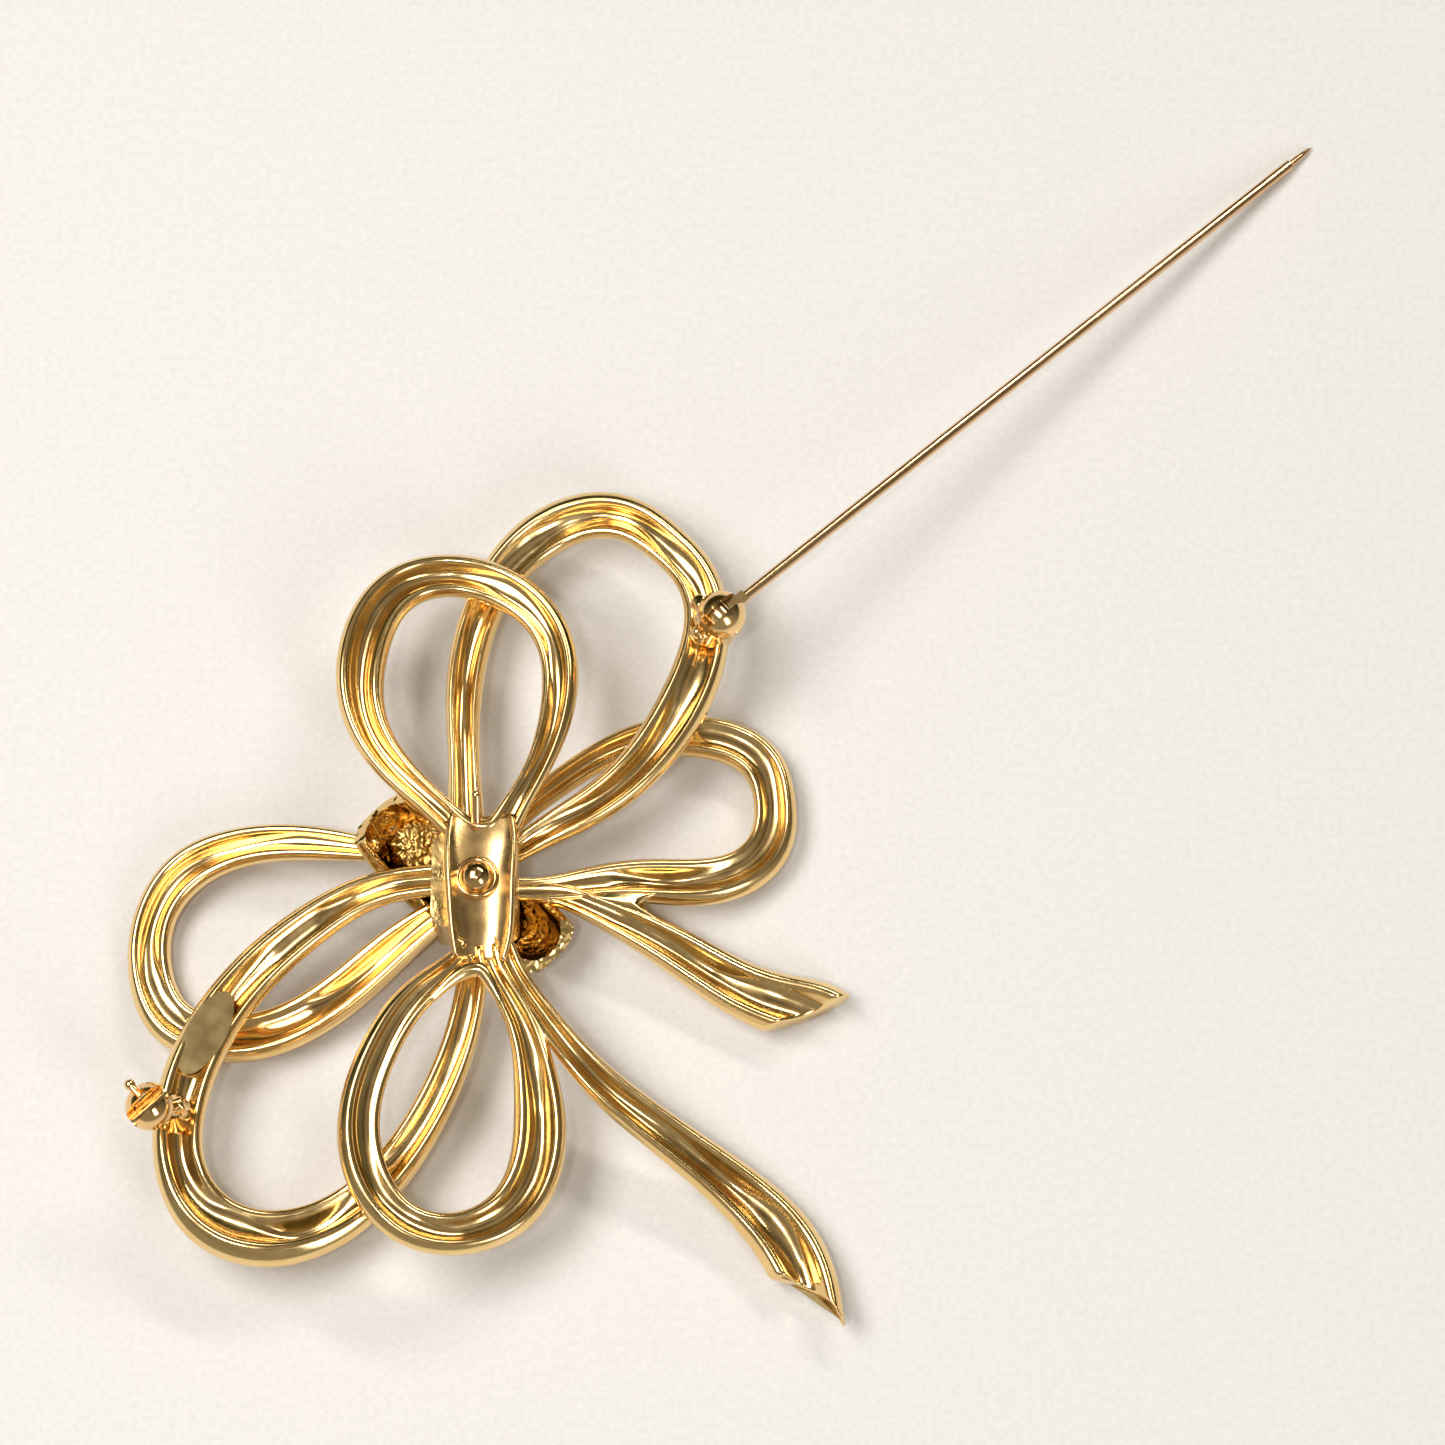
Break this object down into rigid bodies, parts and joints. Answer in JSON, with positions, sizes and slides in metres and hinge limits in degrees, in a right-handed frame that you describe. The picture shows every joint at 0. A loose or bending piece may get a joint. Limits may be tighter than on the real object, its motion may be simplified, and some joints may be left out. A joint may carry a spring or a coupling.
{
  "type": "hat pin",
  "caption": "Hollow-backed ribbon-bow pin with a long stem on a ball hinge and a turning ball safety catch.",
  "frame": {"origin": "on the resting plane, under the centre rivet, with the bow lying face down", "axes": "+Z out of the open back, +Y towards the upper loop, +X towards the short tail seen from the back"},
  "size_m": [0.0976, 0.1031, 0.0121],
  "materials": {
    "gold": "polished yellow gold",
    "cast_gold": "as-cast yellow gold",
    "findings_gold": "polished yellow gold, slightly rosier",
    "drawn_gold": "drawn rose-yellow gold wire",
    "satin_gold": "satin flat plate"
  },
  "bodies": {
    "bow": {"upper_loop": "gold", "lower_loop": "gold", "long_tail": "gold", "back_saddle": "gold", "upper_right_loop": "gold", "right_loop": "gold", "short_tail": "gold", "left_loop": "gold", "lower_left_loop": "gold", "front_knot": "gold", "knot_core": "cast_gold", "centre_rivet": "findings_gold", "rivet_ring": "findings_gold", "guide_post": "findings_gold", "oval_plate": "satin_gold", "hinge_seat": "findings_gold", "hinge_ball": "findings_gold", "hinge_rivet": "findings_gold", "catch_seat": "findings_gold", "catch_ball": "findings_gold"},
    "stem": {"stem_eye": "findings_gold", "pin_stem": "drawn_gold"},
    "rotor": {"catch_rotor": "findings_gold", "catch_lug": "findings_gold"}
  },
  "joints": [
    {"name": "pin_swing", "type": "hinge", "parent": "bow", "child": "stem", "pos_m": [0.0194, 0.0215, 0.0102], "axis": [0.6723, -0.7402, 0], "range_deg": [0, 188.5]},
    {"name": "catch_turn", "type": "hinge", "parent": "bow", "child": "rotor", "pos_m": [-0.0253, -0.0191, 0.0102], "axis": [0.7402, 0.6723, 0], "range_deg": [0, 90]}
  ]
}
